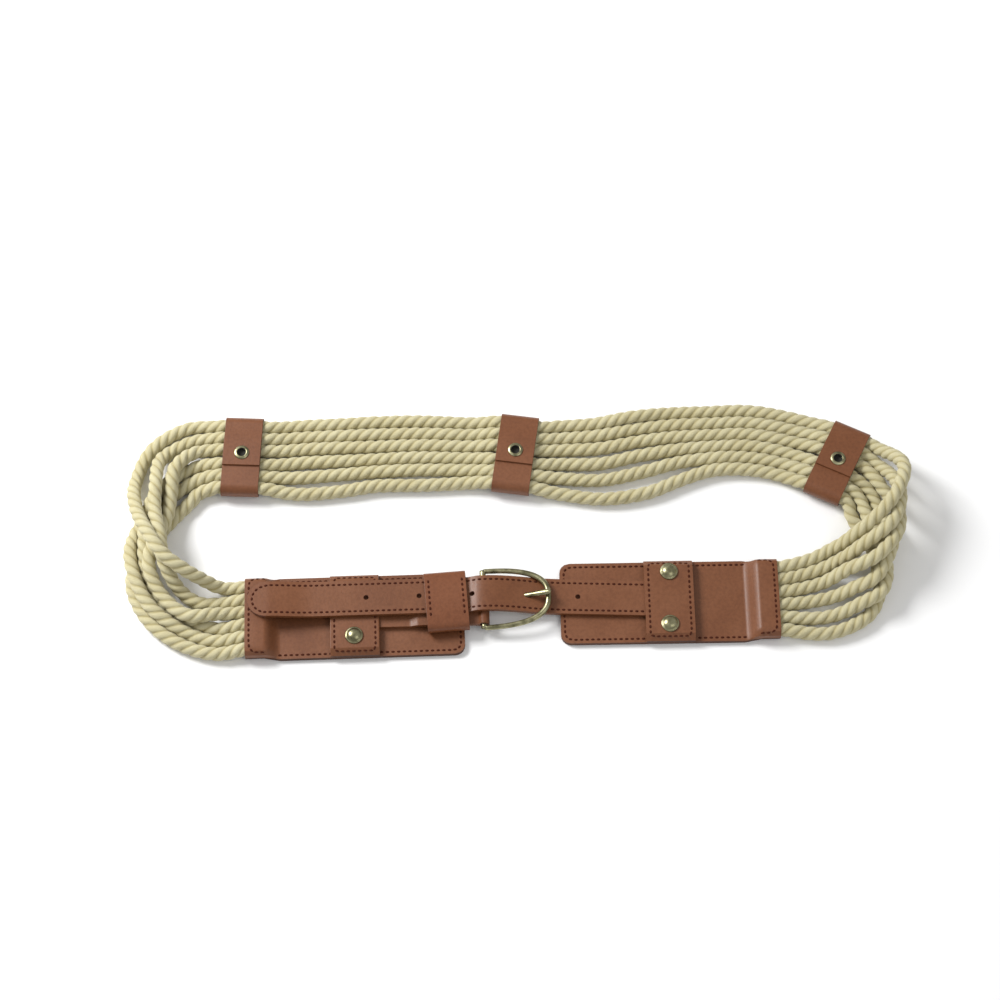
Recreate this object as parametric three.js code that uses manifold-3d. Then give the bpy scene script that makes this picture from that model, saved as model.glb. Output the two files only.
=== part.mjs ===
// A rope belt lying on a table as one closed loop. Six cotton ropes run side by side round the back,
// through three riveted leather keepers, cross over each other at both ends and go into two leather tabs.
// A pin buckle on the left tab and a holed strap on the right tab close the belt.
// Millimetres, +X to the right along the front, +Y towards the back of the loop, +Z up.
import * as THREE from 'three';
import { mergeVertices } from 'three/addons/utils/BufferGeometryUtils.js';
import Module from 'manifold-3d';

const wasm = await Module();
wasm.setup();

// Driving dimensions
const ROPE_DIAMETER = 6.2;
const CLEARANCE = 0.3; // between neighbouring pieces
const CROSSING_CLEARANCE = 0.15; // between two ropes that cross
const LEATHER = 1.1; // one layer
const STRAP_THICKNESS = 2.2; // two layers sewn together
const STRAP_WIDTH = 18.2;
const TAB_LENGTH = 107;
const TAB_MARGIN = 0.5; // leather beyond the ropes' sleeve on each side
const TAB_CORNER = 5;
const TAB_SPACING = 47; // between the two tabs, where the buckle is
const ROPE_GRIP = 9; // length of each rope held inside a tab
const SLEEVE_SLOPE = 8; // from the sleeve down to the flat part of a tab
const BAND_WIDTH = 24; // strip of leather across each tab
const STRAP_TAIL = 8; // hidden end of a strap beyond the middle of its band
const TIP_INSET = 1.2; // from the left tab's mouth to the strap's tip
const HOLE_DIAMETER = 2.6;
const HOLE_SPACING = 25.9;
const LOOP_BAND_WIDTH = 20.5; // leather loop that holds the strap down
const LOOP_PLACE = 18.2; // that loop's middle, back from the buckle's bar
const BUCKLE_LENGTH = 31.8; // bar to the end of the frame, on their centre lines
const BUCKLE_WIDTH = 29.8; // between the arms' centre lines
const FRAME_WIRE = 2.8;
const FRAME_END_HEIGHT = 8; // centre line of the frame's far end
const BAR_DIAMETER = 3;
const BAR_SETBACK = 37.6; // from the right tab's end back to the buckle's bar
const TONGUE_WIRE = 2.3;
const TONGUE_OVERHANG = 1.2; // tongue's tip beyond the frame's centre line
const CAP_DIAMETER = 8.8; // rivets
const CAP_HEIGHT = 2.2;
const SHANK_DIAMETER = 3;
const KEEPER_WIDTH = 18.8;
const EYELET_DIAMETER = 7.6;
const EYELET_BORE = 4;
const EYELET_WALL = 0.6;
const PIN_DIAMETER = 1; // keeper rivet where it passes between two ropes
const FOOT_CAP = 0.8; // thickness of the keeper rivet's cap, underneath
const END_REACH = 60; // room for the ropes beyond each tab's mouth
const LOOP_DEPTH = 80; // front strap's line to the line of the ropes at the back
const ROPE_BEND = 16; // radius at which a rope rides over another
const SEAT_MARGIN = 2; // straight run of the ropes beyond each keeper's edges
const SAMPLE_STEP = 2.5; // between the points of a rope's line

// Sizes that follow from these
const ROPE_COUNT = 6;
const ROPE_RADIUS = ROPE_DIAMETER / 2;
const ROPE_PITCH = ROPE_DIAMETER + CLEARANCE;
const OUTER_LANE = (ROPE_COUNT - 1) / 2;
const KEEPER_SPLIT = PIN_DIAMETER + CLEARANCE; // extra room between ropes 3 and 4
const SLEEVE_HALF = OUTER_LANE * ROPE_PITCH; // outermost rope's centre, from the tab's middle line
const SLEEVE_INNER = ROPE_RADIUS + CLEARANCE;
const SLEEVE_OUTER = SLEEVE_INNER + LEATHER;
const TAB_HALF_WIDTH = SLEEVE_HALF + SLEEVE_OUTER + TAB_MARGIN;
const TAB_ROPE_HEIGHT = LEATHER + CLEARANCE + ROPE_RADIUS;
const FLAT_TOP = 2 * LEATHER + CLEARANCE; // top of a tab's flat part
const ON_TAB = FLAT_TOP + CLEARANCE; // underside of what lies on it
const ON_STRAP = ON_TAB + STRAP_THICKNESS + CLEARANCE;
const ON_BAND = ON_STRAP + LEATHER + CLEARANCE;
const ON_SLEEVE = TAB_ROPE_HEIGHT + SLEEVE_OUTER + CLEARANCE;
const FRONT_HALF = TAB_LENGTH + TAB_SPACING / 2;
const BAND_PLACE = TAB_LENGTH / 2;
const RIVET_OFFSET = STRAP_WIDTH / 2 + CAP_DIAMETER / 2 + CLEARANCE;
const KEEPER_BASE = FOOT_CAP + CLEARANCE;
const KEEPER_ROPE_HEIGHT = KEEPER_BASE + LEATHER + CLEARANCE + ROPE_RADIUS;
const KEEPER_HALF = SLEEVE_HALF + KEEPER_SPLIT / 2;
const BAR_X = TAB_SPACING / 2 - BAR_SETBACK;
const BAR_HEIGHT = ON_TAB + LEATHER + CLEARANCE + STRAP_THICKNESS / 2;
const BAR_BORE = BAR_DIAMETER / 2 + CLEARANCE;
const CHAPE_EYE = BAR_BORE + LEATHER;
const ON_CHAPE_EYE = BAR_HEIGHT + CHAPE_EYE + CLEARANCE;
const RIGHT_BAND_X = FRONT_HALF - BAND_PLACE;
const STRAP_END_X = RIGHT_BAND_X + STRAP_TAIL;
const TIP_X = -FRONT_HALF + TIP_INSET;
const TONGUE_HOLE_X = BAR_X + 0.64 * BUCKLE_LENGTH;

const COTTON = { color: 0xd6cba4, roughness: 0.95, metalness: 0 };
const BROWN_LEATHER = { color: 0x84523c, roughness: 0.55, metalness: 0 };
const OLD_BRASS = { color: 0x9a9377, roughness: 0.35, metalness: 1 };

const RADIANS = Math.PI / 180;
const belt = new THREE.Group();
const drawing = new THREE.Group();
belt.add(drawing);

// Small tools
function addPiece(name, geometry, look, parent = drawing) {
  const flat = geometry.index ? geometry.toNonIndexed() : geometry;
  flat.computeVertexNormals();
  const mesh = new THREE.Mesh(flat, new THREE.MeshStandardMaterial(look));
  mesh.name = name;
  parent.add(mesh);
  return mesh;
}

function toSolid(geometry) {
  const bare = geometry.clone();
  bare.deleteAttribute('normal');
  bare.deleteAttribute('uv');
  const merged = mergeVertices(bare, 1e-4);
  return new wasm.Manifold(new wasm.Mesh({
    numProp: 3,
    vertProperties: new Float32Array(merged.attributes.position.array),
    triVerts: new Uint32Array(merged.index.array),
  }));
}

function toGeometry(solid) {
  const mesh = solid.getMesh();
  const geometry = new THREE.BufferGeometry();
  geometry.setAttribute('position', new THREE.BufferAttribute(mesh.vertProperties, 3));
  geometry.setIndex(new THREE.BufferAttribute(mesh.triVerts, 1));
  return geometry;
}

function cut(geometry, ...tools) {
  return toGeometry(tools.reduce((solid, tool) => solid.subtract(toSolid(tool)), toSolid(geometry)));
}

function join(first, ...others) {
  return toGeometry(others.reduce((solid, other) => solid.add(toSolid(other)), toSolid(first)));
}

function blend(share) {
  const t = THREE.MathUtils.clamp(share, 0, 1);
  return t * t * (3 - 2 * t);
}

// Value at x of a line that runs level at each listed knot and eases from one to the next
function ease(x, knots) {
  if (x <= knots[0].x) return knots[0].value;
  for (let i = 1; i < knots.length; i += 1) {
    const [a, b] = [knots[i - 1], knots[i]];
    if (x <= b.x) return a.value + (b.value - a.value) * blend((x - a.x) / (b.x - a.x));
  }
  return knots[knots.length - 1].value;
}

// A drill along Z from one height to another
function drill(x, y, radius, low, high) {
  const tool = new THREE.CylinderGeometry(radius, radius, high - low, 12);
  return tool.rotateX(Math.PI / 2).translate(x, y, (low + high) / 2);
}

// A block between two corners
function block(low, high) {
  const size = high.map((value, axis) => value - low[axis]);
  const middle = high.map((value, axis) => (value + low[axis]) / 2);
  return new THREE.BoxGeometry(...size).translate(...middle);
}

// A closed leather wall. Each section lists its outer and its inner points in the same order.
function wall(sections) {
  const across = sections[0].outer.length;
  const positions = [];
  sections.forEach(({ outer, inner }) => [...outer, ...inner].forEach((p) => positions.push(...p)));
  const outerAt = (i, j) => i * 2 * across + j;
  const innerAt = (i, j) => outerAt(i, j) + across;
  const faces = [];
  const quad = (a, b, c, d) => faces.push(a, b, c, a, c, d);
  const last = sections.length - 1;
  for (let i = 0; i < last; i += 1) {
    for (let j = 0; j < across - 1; j += 1) {
      quad(outerAt(i, j), outerAt(i + 1, j), outerAt(i + 1, j + 1), outerAt(i, j + 1));
      quad(innerAt(i, j), innerAt(i, j + 1), innerAt(i + 1, j + 1), innerAt(i + 1, j));
    }
    quad(outerAt(i, 0), innerAt(i, 0), innerAt(i + 1, 0), outerAt(i + 1, 0));
    const end = across - 1;
    quad(outerAt(i, end), outerAt(i + 1, end), innerAt(i + 1, end), innerAt(i, end));
  }
  for (let j = 0; j < across - 1; j += 1) {
    quad(outerAt(0, j), outerAt(0, j + 1), innerAt(0, j + 1), innerAt(0, j));
    quad(outerAt(last, j), innerAt(last, j), innerAt(last, j + 1), outerAt(last, j + 1));
  }
  const geometry = new THREE.BufferGeometry();
  geometry.setAttribute('position', new THREE.Float32BufferAttribute(positions, 3));
  geometry.setIndex(faces);
  return geometry;
}

function arc(cx, cy, radius, from, to, steps) {
  return Array.from({ length: steps + 1 }, (_, k) => {
    const angle = (from + (to - from) * (k / steps)) * RADIANS;
    return [cx + radius * Math.cos(angle), cy + radius * Math.sin(angle)];
  });
}

function outline(points) {
  return new THREE.Shape(points.map(([x, y]) => new THREE.Vector2(x, y)));
}

// A side view in X and Z, given its width along Y
function extrudeAlongY(shape, width) {
  const geometry = new THREE.ExtrudeGeometry(shape, { depth: width, bevelEnabled: false });
  return geometry.rotateX(Math.PI / 2).translate(0, width / 2, 0);
}

// An end view in Y and Z, given its length along X
function extrudeAlongX(shape, length) {
  const geometry = new THREE.ExtrudeGeometry(shape, { depth: length, bevelEnabled: false });
  return geometry.rotateX(Math.PI / 2).rotateZ(Math.PI / 2).translate(-length / 2, 0, 0);
}

// Places
const FRAMES = {
  leftTab: { x: -FRONT_HALF, y: -0.124 * LOOP_DEPTH, angle: 2 },
  rightTab: { x: FRONT_HALF, y: 0.008 * LOOP_DEPTH, angle: 181 },
  keepers: [
    { x: -FRONT_HALF - 0.076 * END_REACH, y: 0.963 * LOOP_DEPTH, angle: -2 },
    { x: 0.013 * FRONT_HALF, y: 0.981 * LOOP_DEPTH, angle: -7.5 },
    { x: FRONT_HALF + 0.537 * END_REACH, y: 0.921 * LOOP_DEPTH, angle: -25.5 },
  ],
  buckleStrap: { x: BAR_X, y: -0.055 * LOOP_DEPTH, angle: 1.3 },
  buckle: { x: BAR_X, y: -0.004 * LOOP_DEPTH, angle: 2 },
};

function groupAt({ x, y, angle }) {
  const group = new THREE.Group();
  group.position.set(x, y, 0);
  group.rotation.z = angle * RADIANS;
  drawing.add(group);
  return group;
}

function toDrawing({ x, y, angle }, along, aside) {
  const [c, s] = [Math.cos(angle * RADIANS), Math.sin(angle * RADIANS)];
  return [x + along * c - aside * s, y + along * s + aside * c];
}

function toFrame({ x, y, angle }, px, py) {
  const [c, s] = [Math.cos(angle * RADIANS), Math.sin(angle * RADIANS)];
  return [(px - x) * c + (py - y) * s, -(px - x) * s + (py - y) * c];
}

// Ropes. Each row of a table is one cross section of the loop, met on the way round from the left tab:
// where its middle is, and how far each rope lies outwards from that middle, in rope pitches.
// reach is a share of END_REACH beyond the tab's mouth, along of FRONT_HALF, depth of LOOP_DEPTH.
const LEFT_END = [
  { reach: 0.225, depth: -0.144, lanes: [-2.7, -1.5, -0.45, 0.55, 1.55, 2.55] },
  { reach: 0.44, depth: -0.1, lanes: [-2.6, -1.15, 0.4, 0.35, 1.4, 2.4] },
  { reach: 0.64, depth: 0.013, lanes: [-2.05, -1, 0.35, 0.5, 1.5, 2.2] },
  { reach: 0.76, depth: 0.175, lanes: [-1.05, -0.9, 0.25, 0.5, 1.5, 1.8] },
  { reach: 0.8, depth: 0.35, lanes: [-0.1, -0.9, -0.4, 0.45, 1.5, 0.3] },
  { reach: 0.8, depth: 0.54, lanes: [1.05, -0.35, -1.2, 0.4, 0.6, -1.4] },
  { reach: 0.76, depth: 0.725, lanes: [1.95, 0.1, -1.1, -0.1, -1, -2.5] },
  { reach: 0.64, depth: 0.875, lanes: [2.6, 1.35, -0.2, -0.5, -1.6, -2.7] },
  { reach: 0.46, depth: 0.956, lanes: [2.8, 1.6, 0.45, -0.6, -1.7, -2.8] },
];
const BACK_LEFT = [
  { along: -0.812, depth: 0.956, lanes: [2.9, 1.9, 0.9, -0.25, -1.5, -2.9] },
  { along: -0.66, depth: 0.969, lanes: [2.9, 1.9, 0.9, -0.25, -1.4, -2.8] },
  { along: -0.53, depth: 0.996, lanes: [2.75, 1.7, 0.65, -0.45, -1.5, -2.7] },
  { along: -0.352, depth: 1.006, lanes: [2.7, 1.65, 0.65, -0.4, -1.45, -2.75] },
  { along: -0.15, depth: 1, lanes: [2.6, 1.6, 0.6, -0.45, -1.45, -2.5] },
];
const BACK_RIGHT = [
  { along: 0.184, depth: 0.95, lanes: [2.95, 1.9, 0.9, -0.3, -1.5, -2.8] },
  { along: 0.337, depth: 0.956, lanes: [3.1, 2.1, 1, -0.3, -1.7, -3.3] },
  { along: 0.49, depth: 0.988, lanes: [3.2, 2.3, 1.2, 0, -1.4, -3.2] },
  { along: 0.628, depth: 1.044, lanes: [2.95, 1.95, 0.9, -0.2, -1.3, -2.75] },
  { along: 0.759, depth: 1.081, lanes: [2.6, 1.6, 0.6, -0.4, -1.4, -2.4] },
  { along: 0.904, depth: 1.088, lanes: [2.6, 1.6, 0.6, -0.4, -1.4, -2.4] },
  { along: 1.042, depth: 1.056, lanes: [2.5, 1.5, 0.5, -0.5, -1.5, -2.5] },
];
const RIGHT_END = [
  { reach: 0.84, depth: 0.75, lanes: [2.25, 1.45, 0.45, -0.4, -1.45, -2.45] },
  { reach: 0.917, depth: 0.575, lanes: [0.25, 0.85, 0.75, -0.35, -1.45, -2.5] },
  { reach: 0.908, depth: 0.4, lanes: [-1.5, -0.1, 0.65, 0.4, -0.65, -1.45] },
  { reach: 0.79, depth: 0.225, lanes: [-2.95, -1.5, 0.1, 0.8, 1.1, 0.4] },
  { reach: 0.7, depth: 0.15, lanes: [-3.15, -1.85, -0.45, 0.9, 1.9, 1.8] },
  { reach: 0.59, depth: 0.1, lanes: [-3.2, -2.05, -0.85, 0.55, 1.85, 2.8] },
  { reach: 0.34, depth: 0.025, lanes: [-3.1, -2.1, -1, 0.25, 1.7, 3] },
];
const SIDE_BY_SIDE = [2.5, 1.5, 0.5, -0.5, -1.5, -2.5];
const REVERSED = SIDE_BY_SIDE.map((lane) => -lane);

// One cross section: its middle, and each rope's distance outwards from it
function sectionOf(x, y, lanes, normal = null) {
  return { x, y, normal, offsets: lanes.map((lane) => lane * ROPE_PITCH) };
}

function tabSections(frame, outward) {
  const turn = (frame.angle - outward * 90) * RADIANS;
  const normal = [Math.cos(turn), Math.sin(turn)];
  const places = [ROPE_GRIP - CLEARANCE, ROPE_GRIP / 2, 0];
  return places.map((along) => sectionOf(...toDrawing(frame, along, 0), REVERSED, normal));
}

function keeperSections(frame) {
  const turn = (frame.angle + 90) * RADIANS;
  const normal = [Math.cos(turn), Math.sin(turn)];
  const reach = KEEPER_WIDTH / 2 + SEAT_MARGIN;
  return [-reach, 0, reach].map((along) => {
    const section = sectionOf(...toDrawing(frame, along, 0), SIDE_BY_SIDE, normal);
    section.offsets = section.offsets.map((offset) => offset + Math.sign(offset) * KEEPER_SPLIT / 2);
    return section;
  });
}

function loopSections() {
  const end = (side) => ({ reach, depth, lanes }) =>
    sectionOf(side * (FRONT_HALF + reach * END_REACH), depth * LOOP_DEPTH, lanes);
  const back = ({ along, depth, lanes }) => sectionOf(along * FRONT_HALF, depth * LOOP_DEPTH, lanes);
  const sections = [
    ...tabSections(FRAMES.leftTab, 1),
    ...LEFT_END.map(end(-1)),
    ...keeperSections(FRAMES.keepers[0]),
    ...BACK_LEFT.map(back),
    ...keeperSections(FRAMES.keepers[1]),
    ...BACK_RIGHT.map(back),
    ...keeperSections(FRAMES.keepers[2]),
    ...RIGHT_END.map(end(1)),
    ...tabSections(FRAMES.rightTab, -1).reverse(),
  ];
  sections.forEach((section, i) => {
    if (section.normal) return;
    const [before, after] = [sections[i - 1], sections[i + 1]];
    const length = Math.hypot(after.x - before.x, after.y - before.y);
    section.normal = [-(after.y - before.y) / length, (after.x - before.x) / length];
  });
  return sections;
}

// The plan of one rope, as evenly spaced points
function planOf(sections, rope) {
  const points = sections.map(({ x, y, normal, offsets }) =>
    new THREE.Vector3(x + normal[0] * offsets[rope], y + normal[1] * offsets[rope], 0));
  const curve = new THREE.CatmullRomCurve3(points, false, 'centripetal');
  curve.arcLengthDivisions = 1200;
  return curve.getSpacedPoints(Math.round(curve.getLength() / SAMPLE_STEP));
}

// Height of a rope's centre where only the table, a tab or a keeper is under it
function restingHeight(point) {
  const seats = [
    { frame: FRAMES.leftTab, from: -CLEARANCE, to: ROPE_GRIP, height: TAB_ROPE_HEIGHT },
    { frame: FRAMES.rightTab, from: -CLEARANCE, to: ROPE_GRIP, height: TAB_ROPE_HEIGHT },
    ...FRAMES.keepers.map((frame) => ({
      frame, from: -KEEPER_WIDTH / 2, to: KEEPER_WIDTH / 2, height: KEEPER_ROPE_HEIGHT,
    })),
  ];
  for (const { frame, from, to, height } of seats) {
    const [along, aside] = toFrame(frame, point.x, point.y);
    const near = along > from - SEAT_MARGIN && along < to + SEAT_MARGIN;
    if (near && Math.abs(aside) < 2 * SLEEVE_HALF) return height;
  }
  return ROPE_RADIUS;
}

// Lays the ropes one after another, the last one first, each on what is already under it
function drape(plans) {
  const contact = ROPE_DIAMETER + CROSSING_CLEARANCE;
  for (let rope = plans.length - 1; rope >= 0; rope -= 1) {
    const needed = plans[rope].map((point) => {
      let height = restingHeight(point);
      for (const other of plans.slice(rope + 1).flat()) {
        const apart = Math.hypot(point.x - other.x, point.y - other.y);
        if (apart < contact) height = Math.max(height, other.z + Math.sqrt(contact ** 2 - apart ** 2));
      }
      return height;
    });
    let heights = needed.map((_, i) => Math.max(...needed.map((height, k) =>
      height - ((i - k) * SAMPLE_STEP) ** 2 / (2 * ROPE_BEND))));
    for (let pass = 0; pass < 6; pass += 1) {
      heights = heights.map((height, i) => {
        const before = heights[Math.max(i - 1, 0)];
        const after = heights[Math.min(i + 1, heights.length - 1)];
        return Math.max(needed[i], (before + 2 * height + after) / 4);
      });
    }
    plans[rope].forEach((point, i) => { point.z = heights[i]; });
  }
  return plans;
}

// Keeps as few of a rope's points as give its line to within TOLERANCE
function thin(points) {
  const TOLERANCE = 0.27;
  const chord = new THREE.Line3(points[0], points[points.length - 1]);
  const nearest = new THREE.Vector3();
  let [worst, furthest] = [TOLERANCE, 0];
  points.forEach((point, i) => {
    const gap = chord.closestPointToPoint(point, true, nearest).distanceTo(point);
    if (gap > worst) [worst, furthest] = [gap, i];
  });
  if (!furthest) return [points[0], points[points.length - 1]];
  return [...thin(points.slice(0, furthest + 1)), ...thin(points.slice(furthest)).slice(1)];
}

// A curve that is divided at its own points
class PointwiseCurve extends THREE.CatmullRomCurve3 {
  getUtoTmapping(u) {
    return u;
  }
}

function ropeGeometry(points) {
  const kept = thin(points);
  const section = outline(arc(0, 0, ROPE_RADIUS, 22.5, 337.5, 7));
  const path = new PointwiseCurve(kept, false, 'centripetal');
  return new THREE.ExtrudeGeometry(section, { steps: kept.length - 1, extrudePath: path });
}

function addRopes() {
  const sections = loopSections();
  const plans = Array.from({ length: ROPE_COUNT }, (_, rope) => planOf(sections, rope));
  drape(plans).forEach((points, rope) => addPiece(`rope_${rope + 1}`, ropeGeometry(points), COTTON));
}

// Tabs. In a tab's own frame X runs from its mouth, where the ropes go in, towards the buckle.
function tabHalfWidth(x) {
  const past = x - (TAB_LENGTH - TAB_CORNER);
  return past > 0 ? TAB_HALF_WIDTH - TAB_CORNER + Math.sqrt(TAB_CORNER ** 2 - past ** 2) : TAB_HALF_WIDTH;
}

function tabBack() {
  const lip = SLEEVE_HALF + SLEEVE_OUTER - LEATHER;
  const corner = arc(TAB_LENGTH - TAB_CORNER, TAB_HALF_WIDTH - TAB_CORNER, TAB_CORNER, 90, 0, 5);
  const half = [[0, lip], [ROPE_GRIP, lip], [ROPE_GRIP + SLEEVE_SLOPE, TAB_HALF_WIDTH], ...corner];
  const mirrored = half.map(([x, y]) => [x, -y]).reverse();
  return new THREE.ExtrudeGeometry(outline([...half, ...mirrored]), { depth: LEATHER, bevelEnabled: false });
}

// Across the mouth the front panel is a sleeve over the ropes. Further in it lies flat on the back panel.
function tabFront() {
  const lipAngle = Math.asin((TAB_ROPE_HEIGHT - LEATHER - CLEARANCE) / SLEEVE_OUTER) / RADIANS;
  const mirror = (half) => [...half.map(([y, z]) => [-y, z]).reverse(), [0, half[0][1]], ...half];
  const arch = (radius) => mirror(arc(SLEEVE_HALF, TAB_ROPE_HEIGHT, radius, 90, -lipAngle, 4));
  const level = mirror(arc(SLEEVE_HALF, 0, TAB_HALF_WIDTH - SLEEVE_HALF, 90, 0, 4));
  const slope = [0.2, 0.4, 0.6, 0.8, 1].map((share) => ROPE_GRIP + share * SLEEVE_SLOPE);
  const corner = [0, 0.5, 0.8, 0.95, 1].map((share) => TAB_LENGTH - TAB_CORNER * (1 - share));
  const sections = [0, ROPE_GRIP, ...slope, ...corner].map((x) => {
    const flat = blend((x - ROPE_GRIP) / SLEEVE_SLOPE);
    const place = (points, height) => points.map(([y, z], j) => {
      const flatY = level[j][0] * (tabHalfWidth(x) / TAB_HALF_WIDTH);
      return [x, y + (flatY - y) * flat, z + (height - z) * flat];
    });
    return {
      outer: place(arch(SLEEVE_OUTER), FLAT_TOP),
      inner: place(arch(SLEEVE_INNER), LEATHER + CLEARANCE),
    };
  });
  return wall(sections);
}

// Leather strip across a tab, over the strap's end, with its own ends down on the tab
function bandGeometry() {
  const ramp = 0.85 * TAB_HALF_WIDTH;
  const section = [
    [-TAB_HALF_WIDTH, ON_TAB], [-ramp, ON_STRAP], [ramp, ON_STRAP], [TAB_HALF_WIDTH, ON_TAB],
    [TAB_HALF_WIDTH, ON_TAB + LEATHER], [ramp, ON_STRAP + LEATHER],
    [-ramp, ON_STRAP + LEATHER], [-TAB_HALF_WIDTH, ON_TAB + LEATHER],
  ];
  return extrudeAlongX(outline(section), BAND_WIDTH).translate(BAND_PLACE, 0, 0);
}

// Domed cap on top, shank down through all layers
function rivetGeometry(seat, foot) {
  const radius = CAP_DIAMETER / 2;
  const dome = arc(0, 0, 1, 90, 15, 4).map(([r, z]) => [radius * r, seat + CAP_HEIGHT * z]);
  const profile = [[0, foot], [SHANK_DIAMETER / 2, foot], [SHANK_DIAMETER / 2, seat], [radius, seat]];
  const points = [...profile, ...dome.reverse()].map(([r, z]) => new THREE.Vector2(Math.abs(r), z));
  points[points.length - 1].x = 0;
  return new THREE.LatheGeometry(points, 16).rotateX(Math.PI / 2);
}

function addTab(side, frame, rivets) {
  const group = groupAt(frame);
  const bore = SHANK_DIAMETER / 2 + CLEARANCE;
  const top = ON_STRAP + 2 * LEATHER;
  const holes = rivets.map(([x, y]) => drill(x, y, bore, -LEATHER, top));
  addPiece(`${side}_tab_back`, cut(tabBack(), ...holes), BROWN_LEATHER, group);
  addPiece(`${side}_tab_front`, cut(tabFront(), ...holes), BROWN_LEATHER, group);
  addPiece(`${side}_band`, cut(bandGeometry(), ...holes), BROWN_LEATHER, group);
  rivets.forEach(([x, y], i) => {
    const seat = ON_STRAP + LEATHER + CLEARANCE / 2;
    const solid = rivetGeometry(seat, CLEARANCE / 2);
    const rivet = addPiece(`${side}_rivet_${i + 1}`, solid, OLD_BRASS, group);
    rivet.position.set(x, y, 0);
  });
}

// Holed strap, from under the right band through the buckle to its round tip over the left tab.
// Its line bends slightly where it passes the tongue.
function strapY(x) {
  const aside = x - TONGUE_HOLE_X;
  return 0.025 * LOOP_DEPTH + aside * (aside < 0 ? 0.034 : -0.022);
}

const TONGUE_Y = strapY(TONGUE_HOLE_X) - 0.4;

// Underside of the strap
function strapZ(x) {
  const slopeStart = -FRONT_HALF + ROPE_GRIP + CLEARANCE;
  return ease(x, [
    { x: slopeStart, value: ON_SLEEVE },
    { x: slopeStart + 3 * SLEEVE_SLOPE, value: ON_BAND },
    { x: BAR_X - 2.6 * CHAPE_EYE, value: ON_BAND },
    { x: BAR_X - 0.6 * CHAPE_EYE, value: ON_CHAPE_EYE },
    { x: BAR_X + 0.6 * CHAPE_EYE, value: ON_CHAPE_EYE },
    { x: BAR_X + 0.98 * BUCKLE_LENGTH, value: ON_TAB + CLEARANCE },
    { x: TAB_SPACING / 2, value: ON_TAB },
  ]);
}

function strapSections(places, y, z, half) {
  return places.map((x) => {
    const slope = Math.atan((z(x + 0.1) - z(x - 0.1)) / 0.2);
    const [dx, dz] = [-STRAP_THICKNESS * Math.sin(slope), STRAP_THICKNESS * Math.cos(slope)];
    const low = [-half(x), half(x)].map((aside) => [x, y(x) + aside, z(x)]);
    return { outer: low.map((p) => [p[0] + dx, p[1], p[2] + dz]), inner: low };
  });
}

// The tongue dips under the strap, then goes straight up through its hole and over the frame's end
function tongueLine() {
  const endX = BAR_X + BUCKLE_LENGTH;
  const endZ = FRAME_END_HEIGHT + (FRAME_WIRE + TONGUE_WIRE) / 2 + 1.5 * CLEARANCE;
  const holeZ = strapZ(TONGUE_HOLE_X) + STRAP_THICKNESS / 2;
  const rise = (endZ - holeZ) / (endX - TONGUE_HOLE_X);
  const onLine = (x) => [x, holeZ + rise * (x - TONGUE_HOLE_X)];
  return [
    [BAR_X + BAR_BORE + TONGUE_WIRE / 4, BAR_HEIGHT],
    [BAR_X + 0.28 * BUCKLE_LENGTH, BAR_HEIGHT - 0.2 * TONGUE_WIRE],
    onLine(BAR_X + 0.48 * BUCKLE_LENGTH),
    onLine(TONGUE_HOLE_X),
    onLine(endX - TONGUE_WIRE),
    onLine(endX + TONGUE_OVERHANG),
  ];
}

function addStrap() {
  const round = (x) => {
    const past = TIP_X + STRAP_WIDTH / 2 - x;
    return past > 0 ? Math.sqrt(Math.max((STRAP_WIDTH / 2) ** 2 - past ** 2, 0.01)) : STRAP_WIDTH / 2;
  };
  const tip = [0, 0.02, 0.08, 0.2, 0.4, 0.7, 1].map((share) => TIP_X + share * STRAP_WIDTH / 2);
  const rise = [0.4, 0.9, 1.4, 1.9, 2.4, 3.1].map((share) => -FRONT_HALF + ROPE_GRIP + share * SLEEVE_SLOPE);
  const buckle = [-0.4, -0.24, -0.16, -0.08, 0, 0.08, 0.2, 0.32, 0.44, 0.56, 0.66, 0.76, 0.9, 1.05]
    .map((share) => BAR_X + share * BUCKLE_LENGTH);
  const places = [...tip, ...rise, ...buckle, TAB_SPACING / 2 + 1, STRAP_END_X];
  const geometry = wall(strapSections(places, strapY, strapZ, round));
  const holes = [-3, -2, -1, 1].map((step) => {
    const x = TONGUE_HOLE_X + step * HOLE_SPACING;
    return drill(x, strapY(x), HOLE_DIAMETER / 2, 0, ON_SLEEVE + 2 * STRAP_THICKNESS);
  });
  const [[fromX, fromZ], , [toX, toZ]] = tongueLine().slice(2, 5);
  const bore = TONGUE_WIRE / 2 + CLEARANCE;
  const slot = new THREE.CylinderGeometry(bore, bore, Math.hypot(toX - fromX, toZ - fromZ), 10);
  slot.rotateZ(Math.atan2(toZ - fromZ, toX - fromX) - Math.PI / 2).rotateX(Math.PI / 2);
  slot.translate((fromX + toX) / 2, TONGUE_Y, (fromZ + toZ) / 2);
  addPiece('tip_strap', cut(geometry, ...holes, slot), BROWN_LEATHER);
}

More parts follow.
